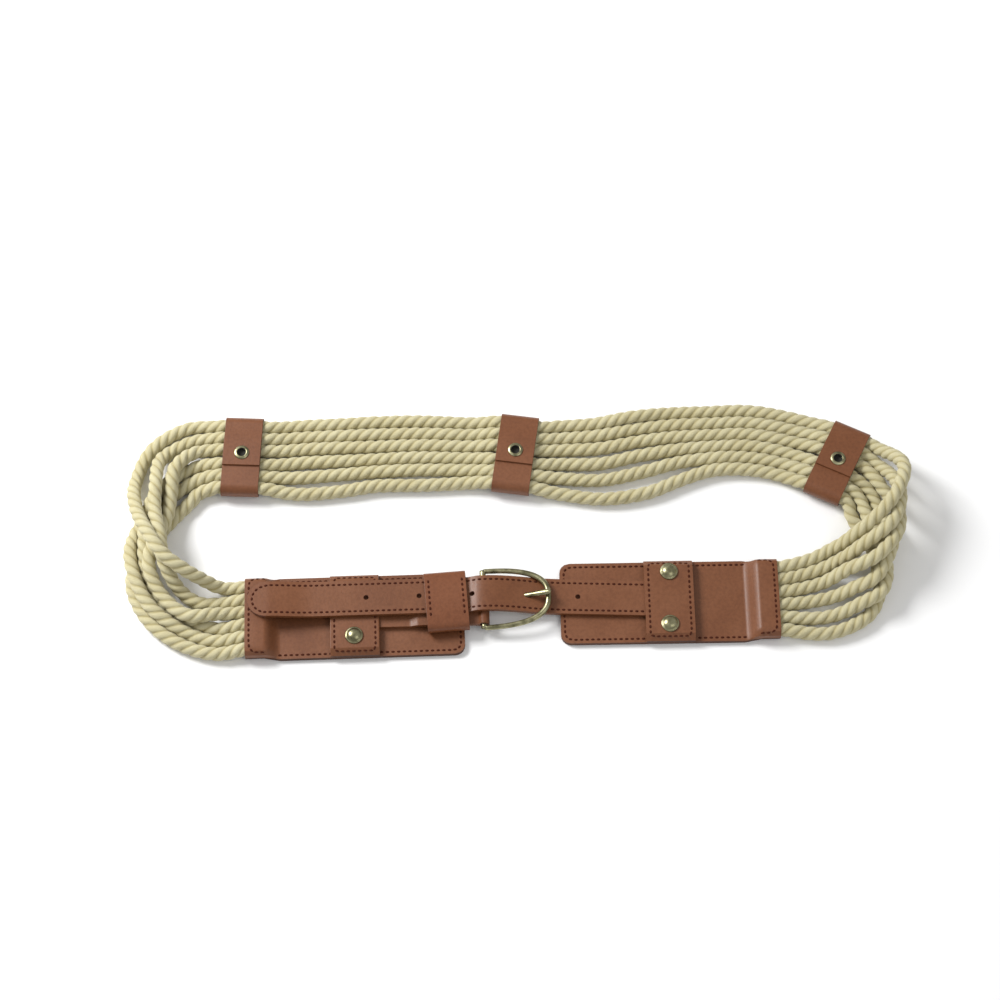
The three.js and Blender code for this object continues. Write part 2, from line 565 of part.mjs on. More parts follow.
// Short strap that ties the buckle to the left tab. It wraps the bar and is slotted for the tongue.
function addBuckleStrap() {
  const frame = FRAMES.buckleStrap;
  const [low, high] = [ON_TAB, ON_TAB + LEATHER + CLEARANCE];
  const foot = -LOOP_PLACE - 0.9 * LOOP_BAND_WIDTH;
  const rise = [0, 0.25, 0.5, 0.75, 1].map((share) =>
    [foot + share * LOOP_BAND_WIDTH / 4, low + (high - low) * blend(share)]);
  const under = [[-BAR_X - RIGHT_BAND_X - STRAP_TAIL, low], ...rise, [-0.9 * CHAPE_EYE, high]];
  const over = under.map(([x, z]) => [x, z + STRAP_THICKNESS]).reverse();
  const shape = outline([...under, ...arc(0, BAR_HEIGHT, CHAPE_EYE, -110, 110, 12), ...over]);
  shape.holes.push(outline(arc(0, BAR_HEIGHT, BAR_BORE, 0, 345, 15)));
  const slotHalf = TONGUE_WIRE / 2 + 2 * CLEARANCE;
  const slotY = TONGUE_Y - frame.y;
  const slotLow = [-CHAPE_EYE - CLEARANCE, slotY - slotHalf, 0];
  const slot = block(slotLow, [2 * CHAPE_EYE, slotY + slotHalf, 2 * ON_BAND]);
  const leather = cut(extrudeAlongY(shape, STRAP_WIDTH), slot);
  addPiece('buckle_strap', leather, BROWN_LEATHER, groupAt(frame));
}

// Leather loop round the buckle's strap and the holed strap, bulging a little on top
function addStrapLoop() {
  const [low, high] = [ON_TAB, ON_BAND + STRAP_THICKNESS + CLEARANCE + LEATHER];
  const middle = (low + high) / 2;
  const outer = (high - low) / 2;
  const inner = outer - LEATHER;
  const x = BAR_X - LOOP_PLACE;
  const near = FRAMES.buckleStrap.y - STRAP_WIDTH / 2 - CLEARANCE;
  const far = strapY(x) + STRAP_WIDTH / 2;
  const crest = 80;
  const reach = (far - near) / 2 / Math.cos(crest * RADIANS);
  const bulge = (radius) =>
    arc((near + far) / 2, middle - reach * Math.sin(crest * RADIANS), reach + radius, crest, 180 - crest, 6);
  const ring = (radius) => [
    ...arc(far, middle, radius, -90, crest, 8),
    ...bulge(radius).slice(1, -1),
    ...arc(near, middle, radius, 180 - crest, 270, 8),
  ];
  const shape = outline(ring(outer));
  shape.holes.push(outline(ring(inner)));
  const group = groupAt({ x, y: 0, angle: 5 });
  addPiece('strap_loop', extrudeAlongX(shape, LOOP_BAND_WIDTH), BROWN_LEATHER, group);
}

// Half oval frame with its bar
function addBuckle() {
  const POWER = 2.6;
  const path = new PointwiseCurve(Array.from({ length: 25 }, (_, k) => {
    const angle = (k / 24 - 0.5) * Math.PI;
    const x = BUCKLE_LENGTH * Math.abs(Math.cos(angle)) ** (2 / POWER);
    const y = (BUCKLE_WIDTH / 2) * Math.sign(angle) * Math.abs(Math.sin(angle)) ** (2 / POWER);
    return new THREE.Vector3(x, y, (FRAME_END_HEIGHT - BAR_HEIGHT) * (x / BUCKLE_LENGTH));
  }), false, 'centripetal');
  const wire = outline(arc(0, 0, FRAME_WIRE / 2, 0, 315, 7));
  const arms = new THREE.ExtrudeGeometry(wire, { steps: 24, extrudePath: path });
  const barRadius = BAR_DIAMETER / 2;
  const bar = new THREE.CylinderGeometry(barRadius, barRadius, BUCKLE_WIDTH + FRAME_WIRE / 2, 10);
  const frame = addPiece('buckle_frame', join(arms, bar), OLD_BRASS, groupAt(FRAMES.buckle));
  frame.position.z = BAR_HEIGHT;
}

function addTongue() {
  const points = tongueLine().map(([x, z]) => new THREE.Vector3(x, 0, z));
  const path = new THREE.CatmullRomCurve3(points, false, 'centripetal');
  const wire = outline(arc(0, 0, TONGUE_WIRE / 2, 0, 315, 7));
  const rod = new THREE.ExtrudeGeometry(wire, { steps: 16, extrudePath: path });
  const circle = (radius) => outline(arc(BAR_X, BAR_HEIGHT, radius, 0, 337.5, 15));
  const ring = circle(BAR_BORE + TONGUE_WIRE / 2);
  ring.holes.push(circle(BAR_BORE));
  const tongue = addPiece('buckle_tongue', join(rod, extrudeAlongY(ring, TONGUE_WIRE)), OLD_BRASS);
  tongue.position.y = TONGUE_Y;
}

// Keepers: a leather strip wrapped once round the ropes, its end lapped over its start and riveted
function addKeeper(number, frame) {
  const [flapEnd, lapFoot, lapTop] = [-0.4, 0.65, 0.41].map((share) => share * KEEPER_HALF);
  const middle = KEEPER_ROPE_HEIGHT;
  const top = middle + SLEEVE_OUTER;
  const outer = [
    ...arc(KEEPER_HALF, middle, SLEEVE_OUTER, -90, 90, 8),
    [lapFoot, top], [lapTop, top + LEATHER], [flapEnd, top + LEATHER], [flapEnd, top],
    ...arc(-KEEPER_HALF, middle, SLEEVE_OUTER, 90, 270, 8),
  ];
  const inner = [
    ...arc(KEEPER_HALF, middle, SLEEVE_INNER, -90, 90, 6),
    ...arc(-KEEPER_HALF, middle, SLEEVE_INNER, 90, 270, 6),
  ];
  const shape = outline(outer);
  shape.holes.push(outline(inner));
  const barrel = EYELET_BORE / 2 + EYELET_WALL;
  const group = groupAt(frame);
  const leather = cut(
    extrudeAlongX(shape, KEEPER_WIDTH),
    drill(0, 0, barrel + CLEARANCE, middle, top + 2 * LEATHER),
    drill(0, 0, PIN_DIAMETER / 2 + CLEARANCE, 0, middle),
  );
  addPiece(`keeper_${number}`, leather, BROWN_LEATHER, group);
  const flange = top + LEATHER + CLEARANCE / 2;
  const shoulder = middle + ROPE_RADIUS + CLEARANCE;
  const profile = [
    [0, 0], [0.8 * CAP_DIAMETER / 2, 0], [CAP_DIAMETER / 2, FOOT_CAP], [PIN_DIAMETER / 2, FOOT_CAP],
    [PIN_DIAMETER / 2, shoulder], [barrel, shoulder + EYELET_WALL], [barrel, flange],
    [EYELET_DIAMETER / 2, flange], [0.8 * EYELET_DIAMETER / 2, flange + EYELET_WALL],
    [EYELET_BORE / 2 + EYELET_WALL / 2, flange + EYELET_WALL], [EYELET_BORE / 2, flange],
    [EYELET_BORE / 2, shoulder + 1.6 * EYELET_WALL], [0, shoulder + 1.2 * EYELET_WALL],
  ].map(([r, z]) => new THREE.Vector2(r, z));
  const rivet = new THREE.LatheGeometry(profile, 16).rotateX(Math.PI / 2);
  addPiece(`keeper_rivet_${number}`, rivet, OLD_BRASS, group);
}

const [, bandY] = toDrawing(FRAMES.buckleStrap, -BAR_X - RIGHT_BAND_X, 0);
addRopes();
addTab('left', FRAMES.leftTab, [toFrame(FRAMES.leftTab, -RIGHT_BAND_X, bandY - RIVET_OFFSET)]);
addTab('right', FRAMES.rightTab, [-1, 1].map((side) =>
  toFrame(FRAMES.rightTab, RIGHT_BAND_X, strapY(RIGHT_BAND_X) + side * RIVET_OFFSET)));
addBuckleStrap();
addStrapLoop();
addBuckle();
addTongue();
addStrap();
FRAMES.keepers.forEach((frame, i) => addKeeper(i + 1, frame));

// The origin is the middle of the belt's box, on the table
const box = new THREE.Box3().setFromObject(belt);
drawing.position.set(-(box.min.x + box.max.x) / 2, -(box.min.y + box.max.y) / 2, -box.min.z);

export default belt;
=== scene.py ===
"""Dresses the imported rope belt: twisted cotton ropes, stitched leather, old brass and a studio."""

import math

import bmesh
import bpy
import numpy as np
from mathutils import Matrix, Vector
from mathutils.bvhtree import BVHTree

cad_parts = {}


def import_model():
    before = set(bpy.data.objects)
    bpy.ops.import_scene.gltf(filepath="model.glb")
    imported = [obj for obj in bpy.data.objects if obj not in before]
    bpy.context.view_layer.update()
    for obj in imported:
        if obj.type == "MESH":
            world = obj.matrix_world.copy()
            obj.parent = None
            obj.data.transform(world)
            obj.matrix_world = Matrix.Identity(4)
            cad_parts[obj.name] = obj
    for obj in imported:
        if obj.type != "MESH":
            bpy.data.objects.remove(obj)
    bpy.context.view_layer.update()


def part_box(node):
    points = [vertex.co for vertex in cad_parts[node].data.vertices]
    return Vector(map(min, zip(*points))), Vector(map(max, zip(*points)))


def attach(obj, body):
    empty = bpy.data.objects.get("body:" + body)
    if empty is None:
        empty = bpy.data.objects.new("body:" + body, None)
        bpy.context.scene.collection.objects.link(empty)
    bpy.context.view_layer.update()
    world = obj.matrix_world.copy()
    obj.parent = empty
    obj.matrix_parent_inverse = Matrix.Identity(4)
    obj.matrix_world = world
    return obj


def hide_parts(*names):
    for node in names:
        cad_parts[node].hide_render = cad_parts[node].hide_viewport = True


MM = 0.001

# Sizes of the CAD model, in millimetres
ROPE_DIAMETER = 6.2
CLEARANCE = 0.3
CROSSING_CLEARANCE = 0.15
LEATHER = 1.1
STRAP_THICKNESS = 2.2
STRAP_WIDTH = 18.2
TAB_LENGTH = 107
TAB_MARGIN = 0.5
TAB_CORNER = 5
TAB_SPACING = 47
ROPE_GRIP = 9
BAND_WIDTH = 24
TIP_INSET = 1.2
LOOP_BAND_WIDTH = 20.5
LOOP_PLACE = 18.2
BUCKLE_LENGTH = 31.8
BUCKLE_WIDTH = 29.8
FRAME_WIRE = 2.8
BAR_DIAMETER = 3
BAR_SETBACK = 37.6
FRAME_END_HEIGHT = 8
TONGUE_WIRE = 2.3
TONGUE_OVERHANG = 1.2
CAP_DIAMETER = 8.8
CAP_HEIGHT = 2.2
SHANK_DIAMETER = 3
KEEPER_WIDTH = 18.8
EYELET_DIAMETER = 7.6
EYELET_BORE = 4
EYELET_WALL = 0.6
PIN_DIAMETER = 1
FOOT_CAP = 0.8
END_REACH = 60
LOOP_DEPTH = 80
ROPE_BEND = 16
SEAT_MARGIN = 2
SAMPLE_STEP = 2.5

ROPE_COUNT = 6
ROPE_RADIUS = ROPE_DIAMETER / 2
ROPE_PITCH = ROPE_DIAMETER + CLEARANCE
KEEPER_SPLIT = PIN_DIAMETER + CLEARANCE
SLEEVE_HALF = (ROPE_COUNT - 1) / 2 * ROPE_PITCH
SLEEVE_OUTER = ROPE_RADIUS + CLEARANCE + LEATHER
TAB_HALF_WIDTH = SLEEVE_HALF + SLEEVE_OUTER + TAB_MARGIN
TAB_ROPE_HEIGHT = LEATHER + CLEARANCE + ROPE_RADIUS
ON_TAB = 2 * LEATHER + 2 * CLEARANCE
ON_STRAP = ON_TAB + STRAP_THICKNESS + CLEARANCE
FRONT_HALF = TAB_LENGTH + TAB_SPACING / 2
BAND_PLACE = TAB_LENGTH / 2
KEEPER_ROPE_HEIGHT = FOOT_CAP + CLEARANCE + TAB_ROPE_HEIGHT
BAR_X = TAB_SPACING / 2 - BAR_SETBACK
BAR_HEIGHT = ON_TAB + LEATHER + CLEARANCE + STRAP_THICKNESS / 2

# The twisted rope's own sizes: radius at the crowns, length of one turn, and its mesh
ROPE_OUTER = 3.5
LAY_LENGTH = 16.5
STRAND_RADIUS = 0.72  # of ROPE_OUTER, as the next one
STRAND_OFFSET = 0.28
STRAND_ARC = 2 * math.pi / 3
RING_STEP = 1.1
RING_POINTS = 30
TWIST_WANDER = 0.03  # how far the twist strays at each ring, in radians
SWELL = 0.015  # the rope's slow swelling and thinning, as a share of its radius
SWELL_LENGTH = 7
UNEVENNESS = 0.006  # and its change from ring to ring
SETTLING_PASSES = 6

STITCH_PITCH = 2.75
STITCH_LENGTH = 2
STITCH_WIDTH = 1.1
STITCH_INSET = 2
STITCH_SIDES = 6
STITCH_LEAN = 1.2  # a stitch that would drop further than this is left out

# Rounding of leather: at cut edges, and at the bends of the bands
EDGE_ROUND = 0.35
BAND_ROUND = 1.3
FOLD_ANGLE = 30  # edges bent by more degrees than this are rounded

# Brass: sides and steps of the turned and swept meshes, and the tongue's hook
TURNED_SIDES = 40
WIRE_STEP = 0.6
WIRE_SIDES = 20
TONGUE_STEP = 0.5
TONGUE_SIDES = 18
TONGUE_HOOK_RADIUS = 2.45
TONGUE_HOOK_LENGTH = 13  # along its wire
TONGUE_DROP = 6.3  # from its highest point to its middle at the strap's hole

# Places in the drawing frame of the CAD model: x, y and turn in degrees
LEFT_TAB = (-FRONT_HALF, -0.124 * LOOP_DEPTH, 2)
RIGHT_TAB = (FRONT_HALF, 0.008 * LOOP_DEPTH, 181)
KEEPERS = [
    (-FRONT_HALF - 0.076 * END_REACH, 0.963 * LOOP_DEPTH, -2),
    (0.013 * FRONT_HALF, 0.981 * LOOP_DEPTH, -7.5),
    (FRONT_HALF + 0.537 * END_REACH, 0.921 * LOOP_DEPTH, -25.5),
]
BUCKLE_PLACE = (BAR_X, -0.004 * LOOP_DEPTH, 2)
STRAP_LOOP_PLACE = (BAR_X - LOOP_PLACE, 0, 5)
TONGUE_HOLE_X = BAR_X + 0.64 * BUCKLE_LENGTH
TIP_X = TIP_INSET - FRONT_HALF

# Cross sections of the loop: place, share of LOOP_DEPTH, and how far out each rope lies, in
# pitches. The place is a share of END_REACH beyond a tab, or of FRONT_HALF along the back.
LEFT_END = [
    (0.225, -0.144, [-2.7, -1.5, -0.45, 0.55, 1.55, 2.55]),
    (0.44, -0.1, [-2.6, -1.15, 0.4, 0.35, 1.4, 2.4]),
    (0.64, 0.013, [-2.05, -1, 0.35, 0.5, 1.5, 2.2]),
    (0.76, 0.175, [-1.05, -0.9, 0.25, 0.5, 1.5, 1.8]),
    (0.8, 0.35, [-0.1, -0.9, -0.4, 0.45, 1.5, 0.3]),
    (0.8, 0.54, [1.05, -0.35, -1.2, 0.4, 0.6, -1.4]),
    (0.76, 0.725, [1.95, 0.1, -1.1, -0.1, -1, -2.5]),
    (0.64, 0.875, [2.6, 1.35, -0.2, -0.5, -1.6, -2.7]),
    (0.46, 0.956, [2.8, 1.6, 0.45, -0.6, -1.7, -2.8]),
]
BACK_LEFT = [
    (-0.812, 0.956, [2.9, 1.9, 0.9, -0.25, -1.5, -2.9]),
    (-0.66, 0.969, [2.9, 1.9, 0.9, -0.25, -1.4, -2.8]),
    (-0.53, 0.996, [2.75, 1.7, 0.65, -0.45, -1.5, -2.7]),
    (-0.352, 1.006, [2.7, 1.65, 0.65, -0.4, -1.45, -2.75]),
    (-0.15, 1, [2.6, 1.6, 0.6, -0.45, -1.45, -2.5]),
]
BACK_RIGHT = [
    (0.184, 0.95, [2.95, 1.9, 0.9, -0.3, -1.5, -2.8]),
    (0.337, 0.956, [3.1, 2.1, 1, -0.3, -1.7, -3.3]),
    (0.49, 0.988, [3.2, 2.3, 1.2, 0, -1.4, -3.2]),
    (0.628, 1.044, [2.95, 1.95, 0.9, -0.2, -1.3, -2.75]),
    (0.759, 1.081, [2.6, 1.6, 0.6, -0.4, -1.4, -2.4]),
    (0.904, 1.088, [2.6, 1.6, 0.6, -0.4, -1.4, -2.4]),
    (1.042, 1.056, [2.5, 1.5, 0.5, -0.5, -1.5, -2.5]),
]
RIGHT_END = [
    (0.84, 0.75, [2.25, 1.45, 0.45, -0.4, -1.45, -2.45]),
    (0.917, 0.575, [0.25, 0.85, 0.75, -0.35, -1.45, -2.5]),
    (0.908, 0.4, [-1.5, -0.1, 0.65, 0.4, -0.65, -1.45]),
    (0.79, 0.225, [-2.95, -1.5, 0.1, 0.8, 1.1, 0.4]),
    (0.7, 0.15, [-3.15, -1.85, -0.45, 0.9, 1.9, 1.8]),
    (0.59, 0.1, [-3.2, -2.05, -0.85, 0.55, 1.85, 2.8]),
    (0.34, 0.025, [-3.1, -2.1, -1, 0.25, 1.7, 3]),
]
SIDE_BY_SIDE = np.array([2.5, 1.5, 0.5, -0.5, -1.5, -2.5])

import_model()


def to_drawing(place, along, aside):
    """A point of a place's own frame, in the drawing frame."""
    x, y, turn = place
    c, s = math.cos(math.radians(turn)), math.sin(math.radians(turn))
    return (x + along * c - aside * s, y + along * s + aside * c)


def to_place(place, px, py):
    """A point of the drawing frame, in a place's own frame."""
    x, y, turn = place
    c, s = math.cos(math.radians(turn)), math.sin(math.radians(turn))
    return ((px - x) * c + (py - y) * s, -(px - x) * s + (py - y) * c)


# The CAD model is centred on its own box: the middle keeper's rivet shows by how much
rivet_low, rivet_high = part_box("keeper_rivet_2")
SHIFT = np.array([
    (rivet_low.x + rivet_high.x) / 2 / MM - KEEPERS[1][0],
    (rivet_low.y + rivet_high.y) / 2 / MM - KEEPERS[1][1],
    0,
])


def world(points):
    """Drawing points in millimetres as points of the part, in metres."""
    return (np.asarray(points, float).reshape(-1, 3) + SHIFT) * MM


# ---------- route of the ropes ----------
def loop_sections():
    """Middle, outward direction and each rope's distance outwards, for every cross section."""
    sections = []

    def fixed(place, along, turn, offsets):
        angle = math.radians(place[2] + turn)
        sections.append((to_drawing(place, along, 0), (math.cos(angle), math.sin(angle)), offsets))

    def keeper(place):
        reach = KEEPER_WIDTH / 2 + SEAT_MARGIN
        offsets = SIDE_BY_SIDE * ROPE_PITCH + np.sign(SIDE_BY_SIDE) * KEEPER_SPLIT / 2
        for along in (-reach, 0, reach):
            fixed(place, along, 90, offsets)

    def end(side, rows):
        for reach, depth, lanes in rows:
            middle = (side * (FRONT_HALF + reach * END_REACH), depth * LOOP_DEPTH)
            sections.append((middle, None, np.array(lanes) * ROPE_PITCH))

    def back(rows):
        for along, depth, lanes in rows:
            middle = (along * FRONT_HALF, depth * LOOP_DEPTH)
            sections.append((middle, None, np.array(lanes) * ROPE_PITCH))

    grip = (ROPE_GRIP - CLEARANCE, ROPE_GRIP / 2, 0)
    for along in grip:
        fixed(LEFT_TAB, along, -90, -SIDE_BY_SIDE * ROPE_PITCH)
    end(-1, LEFT_END)
    keeper(KEEPERS[0])
    back(BACK_LEFT)
    keeper(KEEPERS[1])
    back(BACK_RIGHT)
    keeper(KEEPERS[2])
    end(1, RIGHT_END)
    for along in reversed(grip):
        fixed(RIGHT_TAB, along, 90, -SIDE_BY_SIDE * ROPE_PITCH)
    for i, (middle, normal, offsets) in enumerate(sections):
        if normal is None:
            before, after = sections[i - 1][0], sections[i + 1][0]
            length = math.dist(before, after)
            normal = (-(after[1] - before[1]) / length, (after[0] - before[0]) / length)
            sections[i] = (middle, normal, offsets)
    return sections


def smooth_curve(points, divisions=40):
    """Centripetal Catmull-Rom curve through the points, as many short chords."""
    points = [np.array(p, float) for p in points]
    ends = [2 * points[0] - points[1]] + points + [2 * points[-1] - points[-2]]
    line = []
    for p0, p1, p2, p3 in zip(ends, ends[1:], ends[2:], ends[3:]):
        d0, d1, d2 = (np.linalg.norm(b - a) ** 0.5 for a, b in ((p0, p1), (p1, p2), (p2, p3)))
        t1 = ((p1 - p0) / d0 - (p2 - p0) / (d0 + d1) + (p2 - p1) / d1) * d1
        t2 = ((p2 - p1) / d1 - (p3 - p1) / (d1 + d2) + (p3 - p2) / d2) * d1
        square, cube = 3 * (p2 - p1) - 2 * t1 - t2, 2 * (p1 - p2) + t1 + t2
        for t in np.arange(divisions) / divisions:
            line.append(p1 + t1 * t + square * t**2 + cube * t**3)
    return np.array(line + [points[-1]])


def lengths_along(line):
    """Distance from the line's start to each of its points."""
    return np.concatenate([[0], np.cumsum(np.linalg.norm(np.diff(line, axis=0), axis=1))])


def respace(line, step):
    """The same line with evenly spaced points, about step apart."""
    length = lengths_along(line)
    places = np.linspace(0, length[-1], max(2, round(length[-1] / step)) + 1)
    return np.column_stack([np.interp(places, length, line[:, k]) for k in range(line.shape[1])])


def resting_height(x, y):
    """Height of a rope's middle over the floor, or in the tab or keeper that holds it there."""
    seats = [(place, -CLEARANCE, ROPE_GRIP, TAB_ROPE_HEIGHT) for place in (LEFT_TAB, RIGHT_TAB)]
    seats += [(place, -KEEPER_WIDTH / 2, KEEPER_WIDTH / 2, KEEPER_ROPE_HEIGHT) for place in KEEPERS]
    for place, start, end, height in seats:
        along, aside = to_place(place, x, y)
        if start - SEAT_MARGIN < along < end + SEAT_MARGIN and abs(aside) < 2 * SLEEVE_HALF:
            return height
    return ROPE_RADIUS


def drape(plans):
    """Heights of the ropes, laid one after another from the last, each on those under it."""
    contact = ROPE_DIAMETER + CROSSING_CLEARANCE
    laid = np.empty((0, 3))
    routes = {}
    for rope in reversed(range(len(plans))):
        plan = plans[rope]
        needed = np.array([resting_height(x, y) for x, y in plan])
        if len(laid):
            away = plan[:, None, :] - laid[None, :, :2]
            apart = np.hypot(away[:, :, 0], away[:, :, 1])
            rise = np.sqrt(np.clip(contact**2 - apart**2, 0, None))
            over = np.where(apart < contact, laid[None, :, 2] + rise, 0)
            needed = np.maximum(needed, over.max(axis=1))
        steps = np.arange(len(needed)) * SAMPLE_STEP
        sag = (steps[:, None] - steps[None, :]) ** 2 / (2 * ROPE_BEND)
        heights = (needed[None, :] - sag).max(axis=1)
        for _ in range(SETTLING_PASSES):
            padded = np.pad(heights, 1, mode="edge")
            heights = np.maximum(needed, (padded[:-2] + 2 * heights + padded[2:]) / 4)
        routes[rope] = np.column_stack([plan, heights])
        laid = np.vstack([laid, routes[rope]])
    return [routes[rope] for rope in range(len(plans))]


def rope_routes():
    """The middle line of each rope, in drawing millimetres."""
    sections = loop_sections()
    plans = []
    for rope in range(ROPE_COUNT):
        points = [
            (middle[0] + normal[0] * offsets[rope], middle[1] + normal[1] * offsets[rope])
            for middle, normal, offsets in sections
        ]
        plans.append(respace(smooth_curve(points), SAMPLE_STEP))
    return drape(plans)


# ---------- meshes ----------
def new_object(name, vertices, faces, material, smooth=True):
    mesh = bpy.data.meshes.new(name)
    mesh.from_pydata([tuple(v) for v in vertices], [], faces)
    mesh.materials.append(material)
    mesh.polygons.foreach_set("use_smooth", [smooth] * len(mesh.polygons))
    mesh.update()
    obj = bpy.data.objects.new(name, mesh)
    bpy.context.scene.collection.objects.link(obj)
    return obj


def place_piece(obj, slot, *nodes):
    """Fixes a piece to the belt in place of the CAD nodes. The slot is not used."""
    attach(obj, "root")
    if nodes:
        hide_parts(*nodes)


def frames_along(line, side=None):
    """Sideways and upward vectors along a line. Sideways is level unless it is given."""
    ahead = np.gradient(line, axis=0)
    ahead /= np.linalg.norm(ahead, axis=1)[:, None]
    side = np.cross([0, 0, 1], ahead) if side is None else np.tile(side, (len(line), 1))
    side = side / np.linalg.norm(side, axis=1)[:, None]
    return side, np.cross(ahead, side)


def tube_faces(rings, around):
    """Quads of a tube of several rings, and its two end faces."""
    k = np.arange(around)
    start = (np.arange(rings - 1) * around)[:, None]
    a, b = start + k, start + (k + 1) % around
    quads = np.stack([a, b, b + around, a + around], axis=2).reshape(-1, 4).tolist()
    return quads + [list(range(around))[::-1], list(range((rings - 1) * around, rings * around))]


def sweep(line, section, radii=None, side=None):
    """Vertices of a tube: section points (side, up) at each point of the line, scaled by radii."""
    side, up = frames_along(line, side)
    radii = np.ones(len(line)) if radii is None else radii
    rings = []
    for i, middle in enumerate(line):
        rings.append(middle + radii[i] * (section[:, :1] * side[i] + section[:, 1:] * up[i]))
    return np.concatenate(rings)


def circle(radius, count):
    angles = np.arange(count) * 2 * math.pi / count
    return np.column_stack([radius * np.cos(angles), radius * np.sin(angles)])


def strand_profile(angles):
    """Radius of three pressed strands at each angle, and how near it is to a strand's crown."""
    half_arc = STRAND_ARC / 2
    nearest = np.abs((angles + half_arc) % STRAND_ARC - half_arc)
    sideways = STRAND_OFFSET * np.sin(nearest)
    radius = STRAND_OFFSET * np.cos(nearest) + np.sqrt(STRAND_RADIUS**2 - sideways**2)
    return radius, 1 - nearest / half_arc


def rope_piece(number, route):
    """One twisted rope along its route, with the colour data of its strands."""
    line = respace(smooth_curve(route, 4), RING_STEP)
    along = lengths_along(line)
    side, up = frames_along(line)
    rng = np.random.default_rng(10 + number)
    wander = np.cumsum(rng.normal(0, TWIST_WANDER, len(line)))
    twist = 2 * math.pi * along / LAY_LENGTH + wander + number
    swell = 1 + SWELL * np.sin(along / SWELL_LENGTH + number) + rng.normal(0, UNEVENNESS, len(line))
    angles = np.arange(RING_POINTS) * 2 * math.pi / RING_POINTS
    shape, crown = strand_profile(angles)
    turned = angles[None, :] + twist[:, None]
    radius = ROPE_OUTER * swell[:, None] * shape[None, :]
    vertices = (
        line[:, None, :]
        + (radius * np.sin(turned))[:, :, None] * side[:, None, :]
        + (radius * np.cos(turned))[:, :, None] * up[:, None, :]
    ).reshape(-1, 3)
    faces = tube_faces(len(line), RING_POINTS)
    obj = new_object(f"cotton_rope_{number}", world(vertices), faces, COTTON)
    # The crown share sets the cotton's painted shade in the crevices between the strands.
    share = obj.data.attributes.new("crown", "FLOAT", "POINT")
    share.data.foreach_set("value", np.tile(crown, len(line)).astype(np.float32))
    strand = obj.data.attributes.new("strand", "FLOAT_VECTOR", "POINT")
    lengthways = np.repeat(along[:, None], RING_POINTS, 1)
    across = np.tile(angles * ROPE_OUTER, (len(line), 1))
    place = np.stack([lengthways, across, np.full_like(across, number)], 2)
    strand.data.foreach_set("vector", place.reshape(-1).astype(np.float32))
    place_piece(obj, "cotton", f"rope_{number}")


def dressed(node, material, edge_material, thickness, turn=None, fold=EDGE_ROUND):
    """A copy of a leather CAD node with rounded edges, smooth faces and its cut edges coloured.
    Folds between two upward faces are rounded by the width given for them. Cut edges face along
    the turn given in degrees or, without one, are upright faces no taller than the leather."""
    bm = bmesh.new()
    bm.from_mesh(bpy.data.objects[node].data)
    bmesh.ops.remove_doubles(bm, verts=bm.verts, dist=1e-6)
    bmesh.ops.dissolve_limit(bm, angle_limit=math.radians(1), verts=bm.verts, edges=bm.edges)
    for face in bm.faces:
        face.smooth = True
        if turn is not None:
            axis = Vector((math.cos(math.radians(turn)), math.sin(math.radians(turn)), 0))
            face.material_index = int(abs(face.normal.dot(axis)) > 0.9)
        else:
            heights = [vertex.co.z for vertex in face.verts]
            thin = max(heights) - min(heights) < 1.35 * thickness * MM
            face.material_index = int(abs(face.normal.z) < 0.35 and thin)
    weight = bm.edges.layers.float.new("bevel_weight_edge")
    for rim in bm.edges:
        if len(rim.link_faces) == 2 and rim.calc_face_angle() > math.radians(FOLD_ANGLE):
            upward = all(face.normal.z > 0.5 for face in rim.link_faces)
            rim[weight] = 1 if upward else EDGE_ROUND / fold
    mesh = bpy.data.meshes.new(node)
    bm.to_mesh(mesh)
    bm.free()
    mesh.materials.append(material)
    mesh.materials.append(edge_material)
    obj = bpy.data.objects.new(f"{node}_leather", mesh)
    bpy.context.scene.collection.objects.link(obj)
    bevel = obj.modifiers.new("edges", "BEVEL")
    bevel.width = fold * MM
    bevel.segments = 4
    bevel.limit_method = "WEIGHT"
    bevel.harden_normals = True
    weighted = obj.modifiers.new("normals", "WEIGHTED_NORMAL")
    weighted.weight = 90
    depsgraph = bpy.context.evaluated_depsgraph_get()
    baked = bpy.data.meshes.new_from_object(
        obj.evaluated_get(depsgraph), preserve_all_data_layers=True, depsgraph=depsgraph
    )
    obj.modifiers.clear()
    obj.data = baked
    place_piece(obj, "leather", node)
    return obj


def lathe(name, profile, node, dark=None):
    """A turned brass piece in a CAD node's place. The profile starts and ends on its axis.
    Faces within the dark radius and above the dark height get a near-black painted shade, as inside
    a bore."""
    low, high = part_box(node)
    centre = (low + high) / 2
    count = TURNED_SIDES
    rings = [p for p in profile if p[0] > 1e-6]
    vertices = [(0, 0, profile[0][1])]
    for r, z in rings:
        for k in range(count):
            angle = 2 * math.pi * k / count
            vertices.append((r * math.cos(angle), r * math.sin(angle), z))
    vertices.append((0, 0, profile[-1][1]))
    faces = [(0, 1 + (k + 1) % count, 1 + k) for k in range(count)]
    for i in range(len(rings) - 1):
        a, b = 1 + i * count, 1 + (i + 1) * count
        faces += [(a + k, a + (k + 1) % count, b + (k + 1) % count, b + k) for k in range(count)]
    last = 1 + (len(rings) - 1) * count
    top = len(vertices) - 1
    faces += [(last + k, last + (k + 1) % count, top) for k in range(count)]
    moved = np.array(vertices) * MM + np.array([centre.x, centre.y, 0])
    obj = new_object(name, moved, faces, BRASS)
    if dark:
        obj.data.materials.append(BORE_SHADE)
        for face in obj.data.polygons:
            spot = (face.center - Vector((centre.x, centre.y, 0))) / MM
            face.material_index = int(math.hypot(spot.x, spot.y) < dark[0] and spot.z > dark[1])
    place_piece(obj, "old_brass", node)


